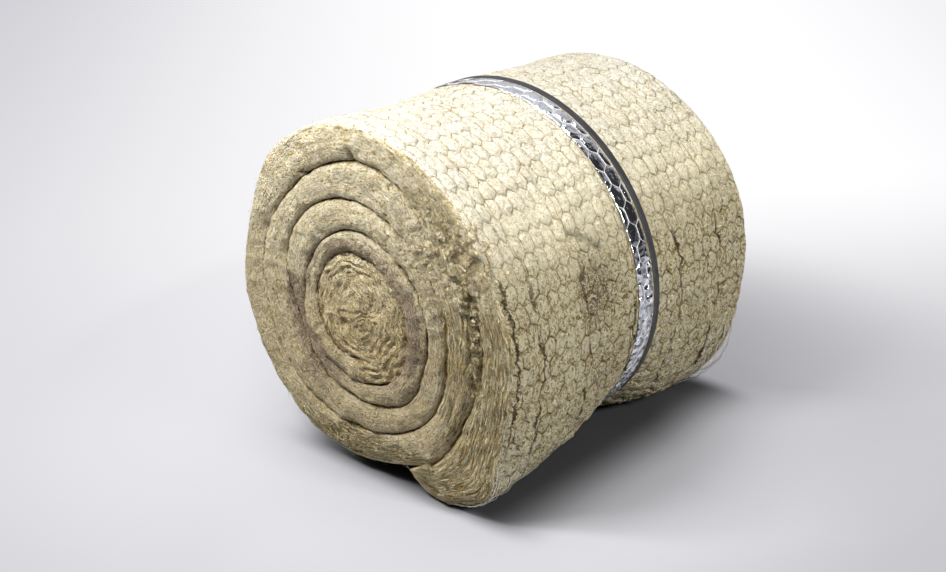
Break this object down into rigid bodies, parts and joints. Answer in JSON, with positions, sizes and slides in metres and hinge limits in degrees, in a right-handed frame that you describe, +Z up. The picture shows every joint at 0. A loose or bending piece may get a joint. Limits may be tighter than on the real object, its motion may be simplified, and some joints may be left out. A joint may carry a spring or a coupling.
{
  "type": "insulation roll",
  "caption": "Rolled mineral-wool mat faced with wire netting, lying on its side, its laps showing on the ends and a strapping band and foil strip round its waist.",
  "frame": {"origin": "on the floor under the middle of the roll's bounding box", "axes": "+Z up, Y along the roll's axis; the near end, where the laps are wound inwards anticlockwise from the loose end, faces -Y"},
  "size_m": [0.5988, 0.6, 0.5918],
  "materials": {
    "wool": "matte",
    "foil": "gloss",
    "strapping": "satin",
    "netting_wire": "satin"
  },
  "bodies": {
    "root": {"wool_mat": "wool", "foil_strip": "foil", "strap": "strapping"}
  },
  "joints": []
}
